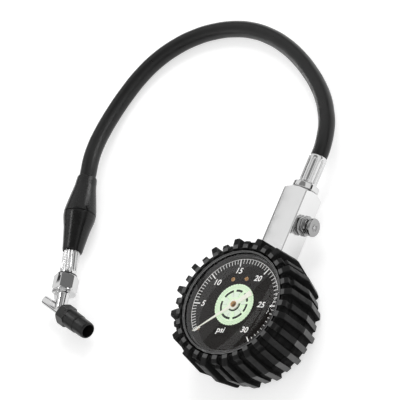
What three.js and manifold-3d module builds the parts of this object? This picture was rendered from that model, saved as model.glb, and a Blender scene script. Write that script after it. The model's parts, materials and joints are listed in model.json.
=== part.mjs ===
// Hand-held tyre inflation gauge: a dial gauge in a tread-lugged rubber boot, a valve block with a
// bleeder, a rubber hose, a two-piece grip and a swivelling angled chuck.
// Millimetres, +Z up. The origin is the centre of the boot's flat back, on the gauge axis.
// +Z runs out of the dial, +Y along the valve block, +X to the dial's right.
import * as THREE from 'three';
import { mergeVertices } from 'three/addons/utils/BufferGeometryUtils.js';
import Module from 'manifold-3d';

const wasm = await Module();
wasm.setup();

const GAP = 0.3;                  // clearance between neighbouring faceted pieces
const ROUND = 36;                 // facets on the gauge's large circles
const TURNED = 20;                // facets on fittings
const FINE = 12;                  // facets on pins and bores

// ---- driving dimensions: boot and gauge case ----
const bootFront = 37.0;           // front face between the lugs
const bootBackWall = 3.0;
const bezelRadius = 33.2;
const bezelWall = 1.5;
const bootThick = 5.0;            // rubber outside the bezel, between the lugs
const bootBackStep = 3.8;
const baseRadius = bezelRadius + bootThick;
const baseBackRadius = baseRadius - bootBackStep;
const lugCount = 32;
const lugPhase = 87.5;            // direction of the first tall lug, degrees from +X
const lugWidth = 3.4;
const lugFront = 38.2;            // height of a lug's front end
const kneeDrop = 0.8;
const heelHeight = 18;
const tipHeight = 2.6;
// How far each lug stands out from the boot at its knee, its heel and its tip.
const tallLug = { knee: 2.7, heel: 4.6, tip: 1.0 };
const shortLug = { knee: 0.5, heel: 3.0, tip: -0.4 };

const bezelSkirtLong = 7.0;
const caseWall = 1.3;
const ledgeStep = 1.3;            // width of the ledge that carries the dial
const dialTop = 32.4;
const dialThick = 0.8;
const dialHoleRadius = 1.6;
const lensThick = 1.6;
const gasketThick = 0.7;
const lensAboveDial = 2.2;
const bezelLip = 1.0;
const bezelLipRadius = 31.2;

// ---- driving dimensions: dial and movement ----
const scaleZero = 225;            // pointer direction at zero, degrees from +X
const scaleSweep = 270;           // clockwise travel to full scale
const pointerReach = 29.2;
const pointerTail = 12.6;
const glowRadius = 12.8;
const dialScrewRadius = 16.6;
const dialScrewBearing = 102;
const dialScrewSpread = 16;

const toothModule = 0.55;
const pinionTeeth = 9;
const sectorTeeth = 54;           // teeth that a full sector wheel would have
const arborRadius = 0.8;
const sectorBearing = -50;        // direction from the pointer axis to the sector pivot
const tailLength = 6.5;
const plateThick = 1.2;
const backPlateBottom = 19.1;
const plateSpace = 8.3;
const pillarRadius = 1.8;

const tubeRadius = 23.0;          // centre line of the Bourdon tube
const tubeHigh = 8.6;
const tubeWide = 2.8;
const tubeStart = 112.5;
const tubeSweep = 267.5;

// ---- driving dimensions: valve block, bleeder and hose fitting ----
const axisHeight = 14.5;          // height of the valve block's axis
const blockSize = 17.0;
const blockTop = 82.0;
const shankRadius = 5.6;
const shankEnd = 41.7;
const socketHalf = 8.0;
const socketFrom = 13.0;
const socketTo = 27.5;
const airway = 1.5;
const chamberRadius = 3.7;
const chamberBottom = 65.0;
const bleederAt = 61.3;
const bleederHex = 10.8;          // across flats
const bleederHexLong = 4.2;
const buttonRadius = 5.5;
const buttonThick = 2.3;
const buttonTravel = 1.4;
const collarRadius = 8.1;
const collarLong = 3.9;
const barbRadius = 2.6;
const crimpRadius = 5.4;
const crimpLong = 17.9;

// ---- driving dimensions: hose, grip and chuck ----
const hoseRadius = 5.0;
const handleCentre = [-156.9, 43.1, 9.7];   // centre of the grip's parting line
const handleTurn = 14.4;          // the handle leans this far from -Y towards +X
const gripHalf = 24.6;
const gripMid = 9.7;
const gripEnd = 6.0;
const knurlRadius = hoseRadius;   // the ferrule at the chuck is flush with the hose
const ferruleFrom = 12.6;
const ferruleTo = 39.3;
const washerThick = 0.9;
const nutFlats = 13.2;
const nutLong = 9.7;
const flangeThick = 0.9;
const flangeRadius = 7.4;
const stubRadius = 3.7;
const crossAt = 63.1;             // distance of the chuck's axis from the grip's parting line
const chuckAngle = 57.5;          // between the handle's axis and the chuck's axis
const crossRadius = 2.95;
const crossBack = 15.2;
const tipFrom = 3.1;
const tipHexLong = 7.0;
const tipHex = 11.6;
const tipStep = 18.9;
const tipEnd = 27.6;
const tipMouth = 4.1;             // radius of the mouth that a tyre valve enters
const tipRim = 5.0;

// The hose's centre line: out of the crimp ferrule, down on to the floor, round, and up to the grip.
const hosePoints = [
  [0, 104.7, 14.5], [0, 107.2, 14.5], [-0.7, 112.3, 14.2], [-2.8, 119.1, 13.3], [-6.4, 127, 11.9],
  [-11.8, 134.9, 10.3], [-18.7, 143, 8.6], [-27.4, 151, 7.1], [-37.9, 158.9, 5.9],
  [-50, 166.5, 5.3], [-63.3, 172.9, 5.2], [-77.7, 177.4, 5.2], [-92.1, 179.3, 5.2],
  [-105.6, 178.4, 5.2], [-119.2, 174.9, 5.2], [-131.7, 169.1, 5.2], [-142.9, 161, 5.2],
  [-152.3, 150.9, 5.2], [-159.4, 139.1, 5.2], [-164.4, 125.8, 5.3], [-167.3, 112.4, 6.0],
  [-168.3, 99.8, 7.3], [-167.8, 88.2, 8.7], [-166.1, 78.7, 9.6], [-163.99, 70.7, 9.7],
  [-161.36, 60.49, 9.7], [-158.74, 50.27, 9.7], [-154.99, 35.64, 9.7],
];

const rad = THREE.MathUtils.degToRad;
const model = new THREE.Group();

const finish = {
  rubber: { color: 0x1d1d1f, roughness: 0.75, metalness: 0 },
  satinBlack: { color: 0x161617, roughness: 0.35, metalness: 0 },
  chrome: { color: 0xd8dadc, roughness: 0.14, metalness: 1 },
  satinChrome: { color: 0xd6d6d6, roughness: 0.3, metalness: 1 },
  gunmetal: { color: 0x5c5c5e, roughness: 0.22, metalness: 1 },
  steel: { color: 0xa9abae, roughness: 0.35, metalness: 1 },
  brass: { color: 0xc79a52, roughness: 0.3, metalness: 1 },
  dial: { color: 0x1e1916, roughness: 0.55, metalness: 0 },
  glow: { color: 0xdff6d3, roughness: 0.6, metalness: 0 },
  cream: { color: 0xf2eedd, roughness: 0.5, metalness: 0 },
  glass: { color: 0xffffff, roughness: 0.05, metalness: 0, transparent: true, opacity: 0.2 },
};

// ---- shape helpers ----
function toSolid(geometry) {
  const bare = geometry.clone();
  bare.deleteAttribute('normal');
  bare.deleteAttribute('uv');
  const merged = mergeVertices(bare, 1e-4);
  const vertProperties = new Float32Array(merged.attributes.position.array);
  const triVerts = new Uint32Array(merged.index.array);
  const kept = [];
  for (let i = 0; i < triVerts.length; i += 3) {
    const [a, b, c] = triVerts.slice(i, i + 3);
    if (a !== b && b !== c && c !== a) kept.push(a, b, c);
  }
  const mesh = new wasm.Mesh({ numProp: 3, vertProperties, triVerts: new Uint32Array(kept) });
  return new wasm.Manifold(mesh);
}

function toGeometry(solid) {
  const mesh = solid.getMesh();
  const geometry = new THREE.BufferGeometry();
  const positions = new Float32Array(mesh.vertProperties);
  geometry.setAttribute('position', new THREE.BufferAttribute(positions, 3));
  geometry.setIndex(new THREE.BufferAttribute(new Uint32Array(mesh.triVerts), 1));
  geometry.computeVertexNormals();
  return geometry;
}

// Turns every face outwards by the sign of the enclosed volume.
function faceOut(geometry) {
  const flat = geometry.index ? geometry.toNonIndexed() : geometry;
  const p = flat.attributes.position;
  const a = new THREE.Vector3();
  const b = new THREE.Vector3();
  const c = new THREE.Vector3();
  let volume = 0;
  for (let i = 0; i < p.count; i += 3) {
    a.fromBufferAttribute(p, i);
    b.fromBufferAttribute(p, i + 1);
    c.fromBufferAttribute(p, i + 2);
    volume += a.dot(b.cross(c));
  }
  if (volume > 0) return flat;
  for (let i = 0; i < p.count; i += 3) {
    a.fromBufferAttribute(p, i + 1);
    b.fromBufferAttribute(p, i + 2);
    p.setXYZ(i + 1, b.x, b.y, b.z);
    p.setXYZ(i + 2, a.x, a.y, a.z);
  }
  return flat;
}

// Revolves [radius, height] points about Z; a profile off the axis is closed into a ring.
function turned(profile, facets = TURNED) {
  const onAxis = profile[0][0] === 0;
  const points = profile.map(([r, h]) => new THREE.Vector2(r, h));
  if (!onAxis) points.push(points[0].clone());
  const geometry = new THREE.LatheGeometry(points, facets);
  geometry.rotateX(Math.PI / 2);
  return faceOut(geometry);
}

const rod = (radius, from, to, facets = FINE) => (
  turned([[0, from], [radius, from], [radius, to], [0, to]], facets));

const ring = (inner, outer, from, to, facets = TURNED) => (
  turned([[inner, from], [outer, from], [outer, to], [inner, to]], facets));

function outline(points) {
  return new THREE.Shape(points.map(([x, y]) => new THREE.Vector2(x, y)));
}

function roundHole(shape, x, y, radius, facets = FINE) {
  const hole = new THREE.Path();
  for (let i = 0; i < facets; i += 1) {
    const a = -2 * Math.PI * i / facets;
    const px = x + radius * Math.cos(a);
    const py = y + radius * Math.sin(a);
    if (i === 0) hole.moveTo(px, py);
    else hole.lineTo(px, py);
  }
  hole.closePath();
  shape.holes.push(hole);
  return shape;
}

function prism(shape, from, to, curveSegments = 8) {
  const settings = { depth: to - from, bevelEnabled: false, curveSegments };
  return faceOut(new THREE.ExtrudeGeometry(shape, settings).translate(0, 0, from));
}

function polar(radius, degrees) {
  return [radius * Math.cos(rad(degrees)), radius * Math.sin(rad(degrees))];
}

function hexPrism(flats, from, to) {
  const corners = Array.from({ length: 6 }, (_, i) => polar(flats / Math.sqrt(3), 60 * i));
  return prism(outline(corners), from, to);
}

function box(x0, x1, y0, y1, z0, z1) {
  const geometry = new THREE.BoxGeometry(x1 - x0, y1 - y0, z1 - z0);
  return geometry.translate((x0 + x1) / 2, (y0 + y1) / 2, (z0 + z1) / 2);
}

function cut(geometry, ...tools) {
  return toGeometry(tools.reduce((body, tool) => body.subtract(toSolid(tool)), toSolid(geometry)));
}

function join(...pieces) {
  return toGeometry(pieces.map(toSolid).reduce((a, b) => a.add(b)));
}

function crossing(a, b) {
  return toGeometry(toSolid(a).intersect(toSolid(b)));
}

function sweep(points, section, steps) {
  const path = new THREE.CatmullRomCurve3(points, false, 'centripetal');
  const settings = { steps, bevelEnabled: false, extrudePath: path };
  return faceOut(new THREE.ExtrudeGeometry(outline(section), settings));
}

const roundSection = (radius, sides) => (
  Array.from({ length: sides }, (_, i) => polar(radius, 360 * i / sides)));

// A coil spring about Z.
function coil(radius, wire, from, to, turns) {
  const perTurn = 8;
  const count = Math.round(turns * perTurn);
  const points = [];
  for (let i = 0; i <= count; i += 1) {
    const a = 2 * Math.PI * turns * i / count;
    const z = from + wire + (to - from - 2 * wire) * i / count;
    points.push(new THREE.Vector3(radius * Math.cos(a), radius * Math.sin(a), z));
  }
  return sweep(points, roundSection(wire, 4), count);
}

function add(group, name, geometry, look) {
  const material = new THREE.MeshStandardMaterial(finish[look]);
  const mesh = new THREE.Mesh(geometry, material);
  mesh.name = name;
  group.add(mesh);
  return mesh;
}

// A group whose local +Z lies along the valve block's axis (+Y) at its height.
function stemGroup() {
  const group = new THREE.Group();
  group.position.set(0, 0, axisHeight);
  group.rotation.x = -Math.PI / 2;
  model.add(group);
  return group;
}

// ---- rubber boot ----
function makeBoot() {
  const caseFit = caseRadius + GAP;
  const bezelFit = bezelRadius + GAP;
  const bezelSkirt = dialTop - bezelSkirtLong - 0.4;
  const shell = turned([
    [0, 0], [baseBackRadius, 0], [baseRadius - 1.6, 4.5], [baseRadius, 12],
    [baseRadius, bootFront - 7], [baseRadius - 1.2, bootFront - 1.2], [bezelRadius + 1.2, bootFront],
    [bezelFit, bootFront - 0.6], [bezelFit, bezelSkirt], [caseFit, bezelSkirt],
    [caseFit, bootBackWall], [0, bootBackWall],
  ], lugCount);
  let body = toSolid(shell);
  for (let i = 0; i < lugCount; i += 1) {
    const { knee, heel, tip } = i % 2 === 0 ? tallLug : shortLug;
    const kneeRadius = baseRadius + knee;
    const shoulder = lugFront - kneeDrop;
    const profile = outline([
      [bezelRadius + 0.6, bootFront - 3], [bezelRadius + 0.6, lugFront],
      [bezelRadius + 2.8, lugFront], [kneeRadius - 0.8, shoulder], [kneeRadius, shoulder - 1],
      [baseRadius + heel, heelHeight], [baseRadius + tip, tipHeight], [baseBackRadius, 0.4],
      [baseRadius - 3.6, bootFront / 2],
    ]);
    const lug = prism(profile, -lugWidth / 2, lugWidth / 2);
    lug.rotateX(Math.PI / 2);
    lug.rotateZ(rad(lugPhase + i * 360 / lugCount));
    body = body.add(toSolid(lug));
  }
  const half = blockSize / 2 + GAP + 0.1;
  const slot = box(-half, half, 30, 50, axisHeight - half, axisHeight + half);
  body = body.subtract(toSolid(slot));
  add(model, 'boot', toGeometry(body), 'rubber');
}

// ---- gauge case, dial and lens ----
const caseRadius = bezelRadius - bezelWall;
const caseInner = caseRadius - caseWall - ledgeStep;
const lensBottom = dialTop + lensAboveDial;
const caseRim = lensBottom - GAP - gasketThick - GAP;
const lipBottom = lensBottom + lensThick + GAP;

function makeCase() {
  const bottom = bootBackWall + GAP;
  const ledge = dialTop - dialThick - GAP;
  const cup = turned([
    [0, bottom], [caseRadius, bottom], [caseRadius, caseRim], [caseRadius - caseWall, caseRim],
    [caseRadius - caseWall, ledge], [caseInner, ledge], [caseInner, bottom + caseWall],
    [0, bottom + caseWall],
  ], ROUND);
  const shankHole = rod(shankRadius + GAP, 20, 50, TURNED);
  shankHole.rotateX(-Math.PI / 2).translate(0, 0, axisHeight);
  add(model, 'case', cut(cup, shankHole), 'steel');

  const skirt = caseRadius + GAP + 0.1;
  const lip = lipBottom + bezelLip;
  const skirtEnd = dialTop - bezelSkirtLong;
  add(model, 'bezel', turned([
    [skirt, skirtEnd], [bezelRadius, skirtEnd], [bezelRadius, lip - 1.6],
    [bezelRadius - 0.35, lip - 0.5], [bezelRadius - 0.9, lip], [bezelRadius - 1.3, lip - 0.2],
    [bezelLipRadius, lip - 0.6], [bezelLipRadius, lipBottom], [skirt, lipBottom],
  ], ROUND), 'gunmetal');

  add(model, 'lens', rod(skirt - GAP, lensBottom, lensBottom + lensThick, ROUND), 'glass');
  const gasketFrom = caseRim + GAP;
  const gasketInner = caseRadius - caseWall + 0.1;
  const gasket = ring(gasketInner, caseRadius - GAP, gasketFrom, gasketFrom + gasketThick, ROUND);
  add(model, 'lens_gasket', gasket, 'satinBlack');
}

const screwPlaces = [-1, 1].map((side) => (
  polar(dialScrewRadius, dialScrewBearing + side * dialScrewSpread)));
const stopPlace = polar(25.2, scaleZero + 4.5);

function makeDial() {
  const plate = new THREE.Shape();
  plate.absarc(0, 0, caseRadius - caseWall - GAP, 0, 2 * Math.PI);
  roundHole(plate, 0, 0, dialHoleRadius);
  screwPlaces.forEach(([x, y]) => roundHole(plate, x, y, 1.1));
  roundHole(plate, ...stopPlace, 0.9);
  add(model, 'dial_plate', prism(plate, dialTop - dialThick, dialTop, ROUND / 2), 'dial');

  const notches = 24;
  const wheel = outline(Array.from({ length: notches * 2 }, (_, i) => (
    polar(i % 2 === 0 ? glowRadius : glowRadius - 0.4, 180 * i / notches))));
  roundHole(wheel, 0, 0, 3.1);
  add(model, 'glow_disc', prism(wheel, dialTop + GAP, dialTop + GAP + 0.3), 'glow');

  const frontPlateTop = backPlateBottom + 2 * plateThick + plateSpace;
  screwPlaces.forEach(([x, y], i) => {
    const head = dialTop + GAP;
    const screw = turned([
      [0, frontPlateTop - plateThick], [0.75, frontPlateTop - plateThick], [0.75, head],
      [1.35, head], [1.35, head + 0.4], [0, head + 0.5],
    ], FINE);
    screw.translate(x, y, 0);
    add(model, `dial_screw_${i + 1}`, screw, 'brass');
  });
  const pin = rod(0.6, dialTop - dialThick, dialTop + 1.8, 12);
  pin.translate(...stopPlace, 0);
  add(model, 'stop_pin', pin, 'brass');
}

// ---- pointer and geared movement ----
const pinionRadius = toothModule * pinionTeeth / 2;
const sectorRadius = toothModule * sectorTeeth / 2;
const sectorPivot = polar(pinionRadius + sectorRadius, sectorBearing);
const towardsPinion = sectorBearing + 180;
const sectorTravel = scaleSweep * pinionTeeth / sectorTeeth;
const frontPlateBottom = backPlateBottom + plateThick + plateSpace;
const sectorBottom = backPlateBottom + 2.9;
const sectorTop = sectorBottom + 1.6;
const linkBottom = sectorTop + GAP;
const linkTop = linkBottom + 1.0;
const springBottom = linkTop + 0.7;

// Tooth outline points from one gap centre to the next, with thin teeth for running clearance.
function toothPoints(radius, count, centre) {
  const pitch = 360 / count;
  const root = radius - 0.62;
  const tip = radius + 0.42;
  return [
    polar(root, centre - 0.27 * pitch), polar(tip, centre - 0.11 * pitch),
    polar(tip, centre + 0.11 * pitch), polar(root, centre + 0.27 * pitch),
  ];
}

function makePointer() {
  const group = new THREE.Group();
  model.add(group);
  const faceZ = dialTop + 0.9;
  const ringPart = 12;
  const needle = [[pointerReach, -0.18], [pointerReach, 0.18]];
  needle.push([9, 0.75], [3.2, 1.0]);
  for (let i = 1; i < ringPart; i += 1) {
    needle.push(polar(3.1, 20 + 140 * i / ringPart));
  }
  needle.push([-3.2, 1.1], [-pointerTail, 1.9], [-pointerTail, -1.9], [-3.2, -1.1]);
  for (let i = 1; i < ringPart; i += 1) {
    needle.push(polar(3.1, 200 + 140 * i / ringPart));
  }
  needle.push([3.2, -1.0], [9, -0.75]);
  const shape = roundHole(outline(needle), 0, 0, 1.9);
  const blade = prism(shape, faceZ, faceZ + 0.35);
  blade.rotateZ(rad(scaleZero));
  add(group, 'pointer', blade, 'cream');

  add(group, 'pointer_hub', turned([
    [0, faceZ - 0.6], [2.7, faceZ - 0.6], [2.7, faceZ - 0.25], [1.6, faceZ - 0.25],
    [1.6, faceZ + 0.6], [2.3, faceZ + 0.6], [2.15, faceZ + 0.85], [0, faceZ + 0.95],
  ], FINE), 'brass');

  // The mesh line runs from the pointer axis to the sector pivot, with a pinion gap on it.
  const teeth = [];
  for (let i = 0; i < pinionTeeth; i += 1) {
    const centre = sectorBearing + (i + 0.5) * 360 / pinionTeeth;
    teeth.push(...toothPoints(pinionRadius, pinionTeeth, centre));
  }
  const arborBottom = backPlateBottom + 0.2;
  const pinionGear = prism(outline(teeth), sectorBottom - 0.5, sectorTop + 0.1);
  const spindle = rod(arborRadius, arborBottom, faceZ - 0.6 - 0.25);
  add(group, 'pinion_arbor', join(pinionGear, spindle), 'brass');

  const collet = ring(arborRadius + GAP, 2.0, springBottom - 0.2, springBottom + 1.2, FINE);
  add(group, 'hairspring_collet', collet, 'brass');
}

const tailBearing = 20;
const tailPin = [
  sectorPivot[0] + polar(tailLength, tailBearing)[0],
  sectorPivot[1] + polar(tailLength, tailBearing)[1],
];

function makeSector() {
  const group = new THREE.Group();
  group.position.set(...sectorPivot, 0);
  model.add(group);
  const pitch = 360 / sectorTeeth;
  const after = 2;
  const before = Math.ceil(sectorTravel / pitch) + 1;
  const edge = [];
  for (let i = -before; i <= after; i += 1) {
    edge.push(...toothPoints(sectorRadius, sectorTeeth, towardsPinion + i * pitch));
  }
  const hubRadius = 2.6;
  edge.push(polar(sectorRadius - 2.6, towardsPinion + (after + 0.4) * pitch));
  edge.push(polar(hubRadius, towardsPinion + 40));
  edge.push(polar(hubRadius, towardsPinion + 90), polar(hubRadius, towardsPinion + 140));
  edge.push(polar(hubRadius, tailBearing - 60), polar(tailLength + 0.4, tailBearing - 16));
  edge.push(polar(tailLength + 1.7, tailBearing), polar(tailLength + 0.4, tailBearing + 16));
  edge.push(polar(hubRadius + 0.4, towardsPinion - 86));
  edge.push(polar(sectorRadius - 2.6, towardsPinion - (before + 0.4) * pitch));
  const plate = outline(edge);
  roundHole(plate, 0, 0, arborRadius + GAP);
  roundHole(plate, ...polar(tailLength, tailBearing), 0.6 + GAP, 12);
  add(group, 'sector_gear', prism(plate, sectorBottom, sectorTop), 'brass');
  const arborTop = frontPlateBottom + plateThick - 0.2;
  add(group, 'sector_arbor', rod(arborRadius, backPlateBottom + 0.2, arborTop), 'steel');
  const pin = turned([
    [0, sectorBottom - 0.5], [0.6, sectorBottom - 0.5], [0.6, linkTop + GAP],
    [1.3, linkTop + GAP], [1.3, linkTop + GAP + 0.5], [0, linkTop + GAP + 0.5],
  ], 12);
  pin.translate(...polar(tailLength, tailBearing), 0);
  add(group, 'link_pin', pin, 'steel');
}

const freeEnd = tubeStart + tubeSweep;
const endPieceBearing = freeEnd + 6.5;

function makeLink() {
  const [x0, y0] = tailPin;
  const [x1, y1] = polar(tubeRadius, endPieceBearing);
  const length = Math.hypot(x1 - x0, y1 - y0);
  const bar = [];
  for (let i = 0; i <= 6; i += 1) bar.push(polar(1.8, 90 + 30 * i));
  for (let i = 0; i <= 6; i += 1) {
    const [x, y] = polar(1.8, -90 + 30 * i);
    bar.push([length + x, y]);
  }
  const shape = roundHole(outline(bar), 0, 0, 0.6 + GAP, 12);
  roundHole(shape, length, 0, 0.7, 12);
  const link = prism(shape, linkBottom, linkTop);
  link.rotateZ(Math.atan2(y1 - y0, x1 - x0)).translate(x0, y0, 0);
  add(model, 'link', link, 'brass');
}

const pillarPlaces = [[-10, -10], [9.5, 10], [3.2, -21]];

function makePlates() {
  const corners = [
    [-12, -14], [0, -25], [9, -25], [16.5, -16], [14, 10], [9, 21], [-9, 21], [-12, 12],
  ];
  const screwSpots = [[-5, 17], [5, 17]];
  const plate = () => {
    const shape = outline(corners);
    roundHole(shape, 0, 0, arborRadius + GAP);
    roundHole(shape, ...sectorPivot, arborRadius + GAP);
    return shape;
  };
  const back = plate();
  screwSpots.forEach(([x, y]) => roundHole(back, x, y, 1.2));
  add(model, 'movement_back_plate', prism(back, backPlateBottom, backPlateBottom + plateThick), 'brass');
  const front = plate();
  screwPlaces.forEach(([x, y]) => roundHole(front, x, y, 1.05));
  const frontTop = frontPlateBottom + plateThick;
  add(model, 'movement_front_plate', prism(front, frontPlateBottom, frontTop), 'brass');
  pillarPlaces.forEach(([x, y], i) => {
    const from = backPlateBottom + plateThick + GAP;
    const pillar = rod(pillarRadius, from, frontPlateBottom - GAP);
    pillar.translate(x, y, 0);
    add(model, `movement_pillar_${i + 1}`, pillar, 'brass');
  });
  screwSpots.forEach(([x, y], i) => {
    const seat = backPlateBottom + plateThick + GAP;
    const screw = turned([
      [0, backPlateBottom - 2.6], [0.9, backPlateBottom - 2.6], [0.9, seat], [1.7, seat],
      [1.7, seat + 1.1], [0, seat + 1.1],
    ], FINE);
    screw.translate(x, y, 0);
    add(model, `movement_screw_${i + 1}`, screw, 'steel');
  });

  const turns = 3;
  const perTurn = 12;
  const inner = 2.0 + GAP + 0.1;
  const outer = 7.0;
  const spiral = [];
  for (let i = 0; i <= turns * perTurn; i += 1) {
    const share = i / (turns * perTurn);
    const [x, y] = polar(inner + (outer - inner) * share, 40 + 360 * turns * share);
    spiral.push(new THREE.Vector3(x, y, springBottom + 0.5));
  }
  const strip = [[-0.4, -0.1], [0.4, -0.1], [0.4, 0.1], [-0.4, 0.1]];
  add(model, 'hairspring', sweep(spiral, strip, turns * perTurn), 'steel');
  const stud = rod(0.8, springBottom, frontPlateBottom - GAP, 12);
  stud.translate(...polar(outer + 1.3, 40 + 360 * turns), 0);
  add(model, 'hairspring_stud', stud, 'brass');
}

// ---- Bourdon tube and its socket ----
function makeTube() {
  const points = [];
  const count = 30;
  for (let i = 0; i <= count; i += 1) {
    const [x, y] = polar(tubeRadius, tubeStart + tubeSweep * i / count);
    points.push(new THREE.Vector3(x, y, axisHeight - 0.2));
  }
  const oval = Array.from({ length: 8 }, (_, i) => {
    const [x, y] = polar(1, 45 * i);
    return [x * tubeHigh / 2, y * tubeWide / 2];
  });
  add(model, 'bourdon_tube', sweep(points, oval, count), 'brass');

  const endTop = linkBottom - GAP;
  const end = box(-2, 2, -2, 2, axisHeight - 0.2 - tubeHigh / 2, endTop);
  end.translate(tubeRadius, 0, 0).rotateZ(rad(endPieceBearing));
  add(model, 'tube_end_piece', end, 'brass');

  const top = backPlateBottom - GAP;
  const block = box(-socketHalf, socketHalf, socketFrom, socketTo, axisHeight - 6.6, top);
  const along = (geometry) => geometry.rotateX(-Math.PI / 2).translate(0, 0, axisHeight);
  const shank = along(rod(shankRadius, socketTo - 1, shankEnd, TURNED));
  const bore = along(rod(airway, socketFrom + 4, shankEnd + 1, 12));
  const branch = rod(airway - 0.3, 0, socketHalf + 1, 12);
  branch.rotateY(-Math.PI / 2).translate(0, tubeRadius - 1.6, axisHeight);
  const wells = [-5, 5].map((x) => (
    rod(1.2, backPlateBottom - 3, backPlateBottom + 1).translate(x, 17, 0)));
  add(model, 'gauge_socket', cut(join(block, shank), bore, branch, ...wells), 'brass');
}

// ---- valve block, hold valve and bleeder ----
function makeBlock() {
  const from = caseRadius + 0.6;
  const half = blockSize / 2;
  const bar = box(-half, half, -half, half, from, blockTop);
  const corner = half * Math.SQRT2;
  const roundedEnd = turned([
    [0, from], [corner + 1, from], [corner + 1, blockTop - 5.2], [corner - 0.6, blockTop - 4.0],
    [half + 0.6, blockTop - 0.5], [half - 0.3, blockTop], [0, blockTop],
  ], 40);
  const sideBore = rod(chamberRadius + 0.2, -1.6, half + 1, TURNED);
  sideBore.rotateY(Math.PI / 2).translate(0, 0, bleederAt);
  const body = cut(
    crossing(bar, roundedEnd),
    rod(shankRadius + GAP, from - 1, shankEnd + GAP, TURNED),
    rod(2.2, from, chamberBottom + 1, FINE),
    rod(chamberRadius, chamberBottom, blockTop + 1, TURNED),
    sideBore,
  );
  const stem = stemGroup();
  add(stem, 'valve_block', body, 'satinChrome');

  add(stem, 'check_spring', coil(2.5, 0.35, chamberBottom + GAP, chamberBottom + 3.6, 3.5), 'steel');
  const poppetFrom = chamberBottom + 3.9;
  add(stem, 'check_poppet', turned([
    [0, poppetFrom], [3.1, poppetFrom], [3.1, poppetFrom + 1.6], [1.2, poppetFrom + 3.5],
    [0, poppetFrom + 3.7],
  ]), 'brass');
  const seatFrom = poppetFrom + 4.0;
  add(stem, 'check_seat', ring(airway + 0.2, chamberRadius - GAP, seatFrom, seatFrom + 1.6), 'satinBlack');

  const collarFrom = blockTop + GAP;
  const collarTo = collarFrom + collarLong;
  const barbEnd = collarTo + crimpLong - 2.2;
  const barb = [];
  for (let i = 0; i < 2; i += 1) {
    const at = collarTo + 6 + i * 5;
    barb.push([barbRadius, at], [barbRadius - 0.4, at + 2.6]);
  }
  add(stem, 'hose_fitting', turned([
    [airway, seatFrom + 1.9], [chamberRadius - GAP, seatFrom + 1.9], [chamberRadius - GAP, collarFrom],
    [collarRadius - 0.5, collarFrom], [collarRadius, collarFrom + 0.5], [collarRadius, collarTo - 0.5],
    [collarRadius - 0.5, collarTo], [barbRadius - 0.4, collarTo], ...barb,
    [airway + 0.3, barbEnd], [airway, barbEnd],
  ]), 'chrome');

  const crimpFrom = collarTo + GAP;
  const crimpTo = crimpFrom + crimpLong;
  const crimp = fluted(8, crimpRadius, 0.5, barbRadius + GAP, crimpFrom, crimpTo);
  add(stem, 'block_ferrule', crimp, 'chrome');
}

// A ferrule with flutes along its length.
function fluted(flutes, radius, depth, bore, from, to) {
  const points = [];
  for (let i = 0; i < flutes; i += 1) {
    const pitch = 360 / flutes;
    points.push(polar(radius - depth, pitch * i), polar(radius, pitch * (i + 0.25)));
    points.push(polar(radius, pitch * (i + 0.75)));
  }
  return prism(roundHole(outline(points), 0, 0, bore), from, to);
}

function makeBleeder() {
  const group = new THREE.Group();
  group.position.set(0, bleederAt, axisHeight);
  group.rotation.y = Math.PI / 2;
  model.add(group);
  const face = blockSize / 2 + GAP;
  const hexTo = face + bleederHexLong;
  const neckTo = hexTo + 0.7;
  const hex = hexPrism(bleederHex, face, hexTo);
  const body = cut(
    join(hex, rod(chamberRadius - 0.1, 2.8, face + 1, TURNED), rod(4.6, hexTo - 1, neckTo, TURNED)),
    rod(1.6, 0, neckTo + 1, FINE),
  );
  add(group, 'bleeder_body', body, 'chrome');

  const innerFace = neckTo + buttonTravel + 0.4;
  const buttonFace = innerFace + buttonThick;
  add(group, 'bleeder_button', turned([
    [1.4, buttonFace - 0.35], [2.2, buttonFace - 0.35], [2.2, buttonFace], [buttonRadius - 0.4, buttonFace],
    [buttonRadius, buttonFace - 0.4], [buttonRadius, innerFace + 0.3], [buttonRadius - 0.3, innerFace],
    [3.7, innerFace], [3.7, innerFace + 1.2], [1.4, innerFace + 1.2],
  ]), 'chrome');
  add(group, 'bleeder_spring', coil(2.8, 0.3, neckTo + 0.15, innerFace + 1.0, 2.5), 'steel');
  add(group, 'bleeder_stem', turned([
    [0, 0.5], [2.5, 0.5], [2.5, 1.6], [1.1, 1.6], [1.1, buttonFace - 0.4], [0, buttonFace - 0.3],
  ]), 'steel');
  add(group, 'bleeder_seal', ring(1.4, 2.7, 1.9, 2.5), 'rubber');
}

// ---- hose, grip and chuck ----
function makeHose() {
  const points = hosePoints.map((p) => new THREE.Vector3(...p));
  add(model, 'hose', sweep(points, roundSection(hoseRadius, 8), 36), 'rubber');
}

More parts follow.
